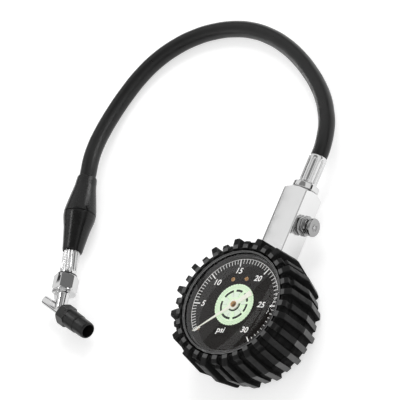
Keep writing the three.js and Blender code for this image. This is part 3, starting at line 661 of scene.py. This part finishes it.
def lettering(text, x, y, size):
    """One word or number as a solid, sloping as the dial's print does, in millimetres."""
    data = bpy.data.curves.new("print", "FONT")
    data.body = text
    data.align_x = "CENTER"
    data.align_y = "CENTER"
    data.size = size * MM
    data.shear = 0.22
    data.offset = 0.07 * MM
    data.extrude = PRINT_THICK / 2 * MM
    word = add_object("print", data)
    height = (DIAL_TOP + PRINT_THICK / 2 + 0.005) * MM
    word.matrix_world = (
        Matrix.Translation((x * MM, y * MM, height)) @ Matrix.Rotation(math.radians(DIAL_TURN), 4, "Z"))
    bpy.context.view_layer.update()
    graph = bpy.context.evaluated_depsgraph_get()
    mesh = bpy.data.meshes.new_from_object(word.evaluated_get(graph))
    mesh.transform(word.matrix_world)
    bpy.data.objects.remove(word)
    return add_object("print", mesh)


def gather(name, pieces):
    """Joins several solids into one object, with their faces kept as they are."""
    work = bmesh.new()
    for piece in pieces:
        work.from_mesh(piece.data)
        bpy.data.objects.remove(piece)
    mesh = bpy.data.meshes.new(name)
    work.to_mesh(mesh)
    work.free()
    return add_object(name, mesh)


def make_print():
    low = DIAL_TOP + 0.005
    high = low + PRINT_THICK
    solids = [prism("print", GAUGE, band(ARC_RADIUS - 0.12, ARC_RADIUS + 0.12, bearing(0), bearing(30), 2),
                    low, high)]
    for half_psi in range(2 * SCALE_FULL + 1):
        psi = half_psi / 2
        if half_psi % 10 == 0:
            outline = tick_outline(psi, ARC_RADIUS - 4.4, 0.34)
        else:
            outline = tick_outline(psi, ARC_RADIUS - 2.7, 0.16)
        solids.append(prism("print", GAUGE, outline, low, high))
    for text, (x, y) in NUMERALS.items():
        solids.append(lettering(text, x, y, 4.9))
    mount(gather("dial_print", solids), DIAL_WHITE, "dial_black", "gauge")


def make_glow_wheel():
    low, high, radius = measure("glow_disc", GAUGE)
    edge = []
    notches = 44
    for i in range(notches):
        middle = 360 * i / notches
        edge.extend([polar(radius, middle - 2.6), polar(radius, middle + 2.6)])
        edge.extend([polar(radius - 0.35, middle + 3.4), polar(radius - 0.35, middle + 4.9)])
    wheel = prism("glow_wheel", GAUGE, edge, low, high)
    combine(wheel, "DIFFERENCE", rod(GAUGE, 3.1, low - 1, high + 1))
    mount(wheel, GLOW, "glow_paint", "gauge", "glow_disc")

    top = high + 0.01
    raised = top + 0.05
    pale = [prism("print", GAUGE, band(4.4, 7.7, a, a + 50), top, raised) for a in range(10, 370, 72)]
    mount(gather("wheel_spokes", pale), GLOW_PALE, "glow_paint", "gauge")
    arcs = [(22, 62), (75, 104), (116, 158), (176, 217), (232, 276), (289, 331), (340, 372)]
    dark = [prism("print", GAUGE, band(8.0, 9.3, a, b), top, raised) for a, b in arcs]
    dark.append(prism("print", GAUGE, band(3.3, 4.2, 232, 380), top, raised))
    mount(gather("wheel_gaps", dark), MARK_BLACK, "dial_black", "gauge")
    lines = [prism("print", GAUGE, band(r, r + 0.09, a, a + 178, 4), top, raised)
             for r in (10.7, 11.6) for a in (0, 181)]
    for i in range(10):
        a = 36 * i + 8
        lines.append(prism("print", GAUGE, band(4.8, 7.9, a, a + 1.2), raised, raised + 0.03))
    mount(gather("wheel_lines", lines), GLOW_LINE, "glow_paint", "gauge")


# Half the length of the cut for a screwdriver's slot, past the edge of every head.
DRIVER_SLOT = 1.6


def make_dial_hardware():
    low, high, _ = measure("pointer_hub", GAUGE)
    blade = measure("pointer", GAUGE)[1]
    hub = lathe("hub_cap", GAUGE, [
        (0, low), (2.7, low), (2.7, low + 0.35), (1.6, low + 0.35), (1.6, blade + 0.2),
        (1.85, blade + 0.22), (1.85, blade + 0.36), (1.2, high - 0.1), (0, high),
    ], 48, 0.12)
    bar = rectangle(DRIVER_SLOT, 0.16)
    turned = GAUGE @ Matrix.Rotation(math.radians(SCALE_MARKS[0] - 40), 4, "Z")
    combine(hub, "DIFFERENCE", prism("tool", turned, bar, high - 0.25, high + 1))
    mount(hub, BRASS, "brass_part", "pointer_shaft", "pointer_hub")

    for number in (1, 2):
        node = f"dial_screw_{number}"
        middle = centre(node)
        where = place((middle.x, middle.y, 0), (0, 0, 1), (1, 0.4, 0))
        low, high, _ = measure(node, where)
        head = high - 0.5
        screw = lathe(f"dial_fastener_{number}", where, [
            (0, low), (0.75, low), (0.75, head), (1.35, head), (1.35, head + 0.25),
            (1.0, high), (0, high),
        ], 40, 0.1)
        bar = rectangle(DRIVER_SLOT, 0.2)
        combine(screw, "DIFFERENCE", prism("tool", where, bar, high - 0.28, high + 1))
        mount(screw, BRASS, "brass_part", "gauge", node)

    middle = centre("stop_pin")
    where = place((middle.x, middle.y, 0), (0, 0, 1), (1, 0, 0))
    low, high, radius = measure("stop_pin", where)
    pin = lathe("zero_stop", where, [(0, low), (radius, low), (radius, high), (0, high)], 32, 0.3)
    mount(pin, BRASS, "brass_part", "gauge", "stop_pin")


# ---- valve block, bleeder and hose fitting ----
def make_block():
    low, high, _ = measure("valve_block", STEM)
    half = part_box("valve_block")[1].x / MM
    corner = half * math.sqrt(2)
    rounded = [tuple(point) for point in soften(rectangle(half, half), 0.8, 5, True)]
    block = prism("block_body", STEM, rounded, low, high + 1, 20)
    turned = lathe("tool", STEM, [
        (0, low + 0.05), (half - 0.6, low + 0.05), (corner + 1, low + 1), (corner + 1, high - 2.6),
        (half + 0.3, high - 0.25), (half - 0.8, high), (0, high),
    ], 192, 0.5, 4)
    combine(block, "INTERSECT", turned)
    chamber = measure("hose_fitting", STEM)[0] - 6
    side = measure("bleeder_body", BLEEDER)[0]
    combine(
        block, "DIFFERENCE",
        rod(STEM, 5.9, low - 1, 42.0), rod(STEM, 2.2, low, high - 10),
        rod(STEM, 3.7, chamber - 5.5, high + 1), rod(BLEEDER, 3.9, min(-1.6, side - 4), half + 1),
    )
    mount(block, SATIN, "satin_chrome", "gauge", "valve_block")


def make_bleeder():
    low, high, _ = measure("bleeder_body", BLEEDER)
    flats = 10.8
    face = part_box("valve_block")[1].x / MM + GAP
    neck = high - 0.7
    body = chamfered_hex("bleeder_hex", BLEEDER, flats, face, neck, 0.7, 12)
    bevel(body, 0.12, 2)
    combine(body, "UNION", lathe("tool", BLEEDER, [
        (0, low), (3.6, low), (3.6, face + 0.5), (4.9, face + 0.6), (4.9, neck - 0.2), (4.9, neck + 0.1),
        (4.6, high), (0, high),
    ], 64, 0.1))
    groove = tube_section(4.95, 7, face + 2.0, face + 2.5)
    combine(body, "DIFFERENCE", lathe("tool", BLEEDER, groove, 64, 0),
            rod(BLEEDER, 1.6, low - 1, high + 1))
    mount(body, BLEEDER_CHROME, "bright_chrome", "gauge", "bleeder_body")

    low, high, radius = measure("bleeder_button", BLEEDER)
    button = lathe("bleeder_cap", BLEEDER, [
        (1.4, high - 0.45), (2.0, high - 0.5), (2.3, high - 0.1), (radius - 0.9, high),
        (radius - 0.15, high - 0.35), (radius, high - 0.8), (radius, low + 0.5),
        (radius - 0.4, low), (3.7, low), (3.7, low + 1.2), (1.4, low + 1.2),
    ], 96, 0.22)
    mount(button, BLEEDER_CHROME, "bright_chrome", "bleeder_plunger", "bleeder_button")


def make_fitting():
    low, high, radius = measure("hose_fitting", STEM)
    collar_low = measure("valve_block", STEM)[1] + GAP
    collar_high = measure("block_ferrule", STEM)[0] - GAP
    fitting = lathe("collar_fitting", STEM, [
        (1.5, low), (3.4, low), (3.4, collar_low), (radius - 0.5, collar_low),
        (radius, collar_low + 0.5), (radius, collar_high - 0.5), (radius - 0.5, collar_high),
        (2.2, collar_high), (2.6, collar_high + 6), (2.2, collar_high + 8.6),
        (2.6, collar_high + 11), (2.2, collar_high + 13.6), (1.8, high), (1.5, high),
    ], 128, 0.2)
    mount(fitting, CHROME, "bright_chrome", "gauge", "hose_fitting")

    low, high, radius = measure("block_ferrule", STEM)
    flutes = 8
    heights = [low, low + 0.25, low + 0.7]
    heights += [low + 1.1 + (high - low - 4.4) * i / 24 for i in range(25)]
    heights += [high - 2.9, high - 2.5, high - 1.9, high - 1.2, high - 0.6, high - 0.2, high]

    def reach(share, h):
        """Radius at a share of the way round: a rounded rib between flutes that end near the lip."""
        rib = abs((share * flutes) % 1 - 0.5) * 2
        ends = min(1, max(0, (h - low - 0.7) / 1.6), max(0, (high - 2.2 - h) / 1.8))
        width = 0.62 * math.sqrt(max(0, 1 - (1 - ends) ** 2))
        groove = max(0, 1 - (rib / width) ** 4) if width > 0.05 else 0
        rounding = min(h - low, high - h, 0.4)
        return radius + 0.1 - 0.62 * groove - (0.4 - rounding) * 0.7

    ferrule = fluted_sleeve("crimp_ferrule", STEM, 2.95, heights, reach, 160)
    mount(ferrule, CHROME, "bright_chrome", "gauge", "block_ferrule")


def fluted_sleeve(name, where, bore, heights, reach, segments):
    """A sleeve whose outer radius varies round and along it."""
    rings = []
    for r, h in ((bore, heights[-1]), (bore, heights[0])):
        rings.append([(where @ Vector((*polar(r * MM, 360 * k / segments), h * MM)))
                      for k in range(segments)])
    for h in heights:
        ring = []
        for k in range(segments):
            share = k / segments
            x, y = polar(reach(share, h) * MM, 360 * share)
            ring.append(where @ Vector((x, y, h * MM)))
        rings.append(ring)
    return loft(name, rings, True, 40)


# ---- grip and chuck ----
def make_grip():
    bore = HOSE_DIAMETER / 2 / MM + GAP
    low, high, radius = measure("grip_upper", HANDLE)
    upper = lathe("grip_hose_half", HANDLE, [
        (bore, low), (5.7, low), (6.0, low + 0.7), (6.5, low + 6), (8.6, high - 8), (9.45, high - 3.2),
        (radius, high - 1.2), (radius, high - 0.25), (radius - 0.2, high), (bore, high),
    ], 96, 0.5)
    mount(upper, GRIP, "grip_plastic", "gauge", "grip_upper")
    low, high, radius = measure("grip_lower", HANDLE)
    lower = lathe("grip_chuck_half", HANDLE, [
        (bore, low), (radius - 0.2, low), (radius, low + 0.25), (radius, low + 1.2), (9.35, low + 3.6),
        (8.0, low + 9.5), (6.6, high - 5), (6.1, high - 0.9), (5.7, high), (bore, high),
    ], 96, 0.5)
    mount(lower, GRIP, "grip_plastic", "gauge", "grip_lower")


def make_handle_fittings():
    low, high, radius = measure("chuck_ferrule", HANDLE)
    flutes = 16
    count = 40
    heights = [low + (high - low) * i / count for i in range(count + 1)]
    twist = 0.4

    def reach(share, h):
        along = (h - low) / (high - low)
        rib = abs((share * flutes + twist * along * flutes / 4) % 1 - 0.5) * 2
        ends = min(1, max(0, (high - 1.6 - h) / 0.8))
        return radius + 0.05 - 0.5 * max(0, 1 - (rib / 0.75) ** 2) * ends

    ferrule = fluted_sleeve("chuck_crimp", HANDLE, 2.95, heights, reach, 192)
    mount(ferrule, CHROME, "satin_chrome", "gauge", "chuck_ferrule")

    low, high, radius = measure("seal_ring", HANDLE)
    washer = lathe("dark_washer", HANDLE, tube_section(2.95, radius, low, high), 96, 0.25)
    mount(washer, SEAL, "black_seal", "gauge", "seal_ring")

    low, high, radius = measure("swivel_nut", HANDLE)
    nut = chamfered_hex("hex_nut", HANDLE, radius * math.sqrt(3), low, high, 1.1, 19)
    combine(nut, "DIFFERENCE", rod(HANDLE, 2.9, low - 1, high + 1), rod(HANDLE, 4.9, low + 1.3, high + 1))
    bevel(nut, 0.14, 2)
    mount(nut, CHROME, "bright_chrome", "chuck", "swivel_nut")


def make_chuck():
    low = measure("chuck_body", HANDLE)[0]
    elbow = (HANDLE.inverted() @ CHUCK.translation).z / MM
    nut_end = measure("swivel_nut", HANDLE)[1]
    flange = nut_end + GAP
    body = lathe("elbow_body", HANDLE, [
        (0, low), (4.55, low), (4.55, flange), (7.1, flange), (7.4, flange + 0.25),
        (7.4, flange + 0.7), (7.1, flange + 0.95), (4.5, flange + 1.1), (3.8, flange + 1.6),
        (3.7, elbow - 3), (3.7, elbow), (0, elbow),
    ], 96, 0.25)
    web = [(-6.4, flange + 0.6), (0, flange + 0.6), (0, elbow - 2), (-4.1, elbow - 3.5)]
    upright = HANDLE @ Matrix.Rotation(math.pi / 2, 4, "X")
    rib = prism("tool", upright, web, -1.1, 1.1)
    back = measure("chuck_body", CHUCK)[0]
    socket = measure("chuck_tip", CHUCK)[0] + 6.0
    cross = lathe("tool", CHUCK, [
        (0, back), (2.35, back), (2.95, back + 0.6), (2.95, socket), (0, socket),
    ], 96, 0.2)
    combine(body, "UNION", rib, cross)
    combine(body, "DIFFERENCE", rod(HANDLE, 1.3, low - 1, elbow), rod(CHUCK, 1.9, back + 4, socket + 1))
    bevel(body, 0.2, 2, 50)
    mount(body, CHROME, "bright_chrome", "chuck", "chuck_body")


def make_tip():
    low, high, _ = measure("chuck_tip", CHUCK)
    flats = 11.6
    hex_high = low + 7.0
    step = low + 15.8
    rim = 5.0
    tip = chamfered_hex("tip_nose", CHUCK, flats, low, hex_high, 0.6, 0)
    bevel(tip, 0.22, 2)
    combine(tip, "UNION", lathe("tool", CHUCK, [
        (0, hex_high - 1), (flats / 2, hex_high - 1), (flats / 2, hex_high + 1.6),
        (flats / 2 - 0.15, step - 0.3), (flats / 2 - 0.5, step), (flats / 2 - 0.5, high - 3.6),
        (rim + 0.1, high - 1.0), (rim - 0.35, high), (0, high),
    ], 96, 0.35))
    socket = low + 6.0
    seat = measure("tip_gasket", CHUCK)[0] - GAP
    combine(tip, "DIFFERENCE", rod(CHUCK, 3.25, low - 1, socket + 0.3), rod(CHUCK, 1.9, low, seat + 1),
            rod(CHUCK, 4.1, seat, high + 1))
    bevel(tip, 0.15, 2, 60)
    mount(tip, TIP, "tip_plastic", "chuck", "chuck_tip")


# ---- stage ----
FLOOR_SIZE = 6.0
FLOOR_GLOW = 0.56
FLOOR_GREY = 0.62
# The studio's brightness by height of direction: dark low walls, a light band, a dim ceiling.
SKY = [(0.0, 0.05), (0.22, 0.06), (0.36, 0.95), (0.84, 0.95), (0.9, 0.25), (1.0, 0.3)]


def make_floor():
    half = FLOOR_SIZE / 2
    floor = make_object("floor", [(x, y, 0) for x, y in rectangle(half, half)], [(0, 1, 2, 3)])
    floor.location.z = -0.02 * MM
    material = bpy.data.materials.new("floor_white")
    material.use_nodes = True
    shader = material.node_tree.nodes["Principled BSDF"]
    shader.inputs["Base Color"].default_value = (*grey(FLOOR_GREY), 1)
    shader.inputs["Roughness"].default_value = 0.9
    shader.inputs["Specular IOR Level"].default_value = 0.1
    shader.inputs["Emission Color"].default_value = (1, 1, 1, 1)
    shader.inputs["Emission Strength"].default_value = FLOOR_GLOW
    paint(floor, material)


def make_world():
    world = bpy.data.worlds.new("studio")
    bpy.context.scene.world = world
    world.use_nodes = True
    tree = world.node_tree
    coords = tree.nodes.new("ShaderNodeTexCoord")
    split = tree.nodes.new("ShaderNodeSeparateXYZ")
    tree.links.new(coords.outputs["Generated"], split.inputs["Vector"])
    ramp = tree.nodes.new("ShaderNodeValToRGB")
    for height, _ in SKY[1:-1]:
        ramp.color_ramp.elements.new(height)
    for element, (height, brightness) in zip(ramp.color_ramp.elements, SKY):
        element.position = height
        element.color = (brightness, brightness, brightness, 1)
    tree.links.new(split.outputs["Z"], ramp.inputs["Fac"])
    tree.links.new(ramp.outputs["Color"], tree.nodes["Background"].inputs["Color"])


def card(name, points, brightness):
    """A flat glowing panel, seen only in reflections and through glass."""
    panel = make_object(name, points, [tuple(range(len(points)))])
    material = bpy.data.materials.new(name)
    material.use_nodes = True
    tree = material.node_tree
    tree.nodes.clear()
    glow = tree.nodes.new("ShaderNodeEmission")
    glow.inputs["Strength"].default_value = brightness
    output = tree.nodes.new("ShaderNodeOutputMaterial")
    tree.links.new(glow.outputs["Emission"], output.inputs["Surface"])
    material.cycles.emission_sampling = "NONE"
    paint(panel, material)
    panel.visible_camera = False
    panel.visible_diffuse = False
    panel.visible_shadow = False


def square_card(name, middle, normal, up, width, height, brightness):
    where = place(middle, normal, up)
    points = [where @ Vector((x, y, 0)) for x, y in rectangle(width / 2, height / 2)]
    card(name, points, brightness)


def half_card(name, middle, radius, start, brightness):
    """A level half disc, its straight edge at a bearing."""
    points = [middle + Vector((*polar(radius, start + 6 * i), 0)) for i in range(31)]
    card(name, points, brightness)


def lamp(name, position, aim, size, power):
    data = bpy.data.lights.new(name, "AREA")
    data.size = size
    data.energy = power
    light = add_object(name, data)
    light.location = position
    light.rotation_mode = "QUATERNION"
    light.rotation_quaternion = (Vector(aim) - Vector(position)).to_track_quat("-Z", "Y")
    light.visible_camera = False
    light.visible_glossy = False
    light.visible_transmission = False


def make_lights():
    lamp("key", (-0.12, 0.85, 0.75), (-0.05, 0.05, 0), 0.5, 5.0)
    lamp("fill", (0.8, -0.5, 0.8), (0, 0, 0), 0.9, 1.0)


# The bearing of the straight edge between the light and the dark half disc over the lens.
LENS_LINE = 59
LENS_CARD_HEIGHT = 0.06
BLOCK_CARD_HEIGHT = 0.03
CARD_DISTANCE = 0.1
STRIP_BRIGHTNESS = 9
# Directions from a piece towards the card that it reflects.
NUT_TO_CARD = Vector((0.429, 0.523, 0.736))
GRIP_TO_UPPER_STRIP = Vector((-0.368, 0.013, 0.931))
GRIP_TO_LOWER_STRIP = Vector((0.530, 0.833, 0.165))


def mirror_point(point, height):
    """Where the camera's line of sight, reflected at a level point, reaches a height above it."""
    back = CAMERA_RIGHT.cross(CAMERA_UP).normalized()
    slope = Vector((-back.x, -back.y, back.z)) / back.z
    return Vector(point) + slope * height


def make_cards():
    """Half discs over the lens, a flag beside the block, one for the nut and strips for the grip."""
    low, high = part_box("lens")
    middle = mirror_point((8.7 * MM, -5.2 * MM, high.z), LENS_CARD_HEIGHT)
    half_card("lens_softbox", middle, high.x + 7 * MM, LENS_LINE, 0.42)
    half_card("lens_flag", middle, high.x + 7 * MM, LENS_LINE + 180, 0.0)
    low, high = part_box("valve_block")
    edge = mirror_point((low.x + 1.2 * MM, (low.y + high.y) / 2, high.z), BLOCK_CARD_HEIGHT)
    square_card("block_flag", edge - Vector((0.01, 0, 0)), (0, 0, -1), (0, 1, 0), 0.02,
                high.y - low.y, 0.0)
    square_card("nut_flag", centre("swivel_nut") + NUT_TO_CARD * CARD_DISTANCE, -NUT_TO_CARD,
                (0, 0, 1), 0.05, 0.044, 0.2)
    square_card("strip_above", centre("grip_lower") + GRIP_TO_UPPER_STRIP * CARD_DISTANCE,
                -GRIP_TO_UPPER_STRIP, HANDLE_JOINT["axis"], 0.012, 0.06, STRIP_BRIGHTNESS)
    square_card("strip_low", centre("grip_upper") + GRIP_TO_LOWER_STRIP * CARD_DISTANCE,
                -GRIP_TO_LOWER_STRIP, (0, 0, 1), 0.012, 0.05, STRIP_BRIGHTNESS)


bpy.context.scene.view_settings.view_transform = "Standard"
make_camera()
finish_cad_nodes()
hose_piece = make_hose()
make_boot()
make_bezel()
make_print()
make_glow_wheel()
make_dial_hardware()
make_block()
make_bleeder()
make_fitting()
make_grip()
make_handle_fittings()
make_chuck()
make_tip()
make_floor()
make_world()
make_lights()
make_cards()
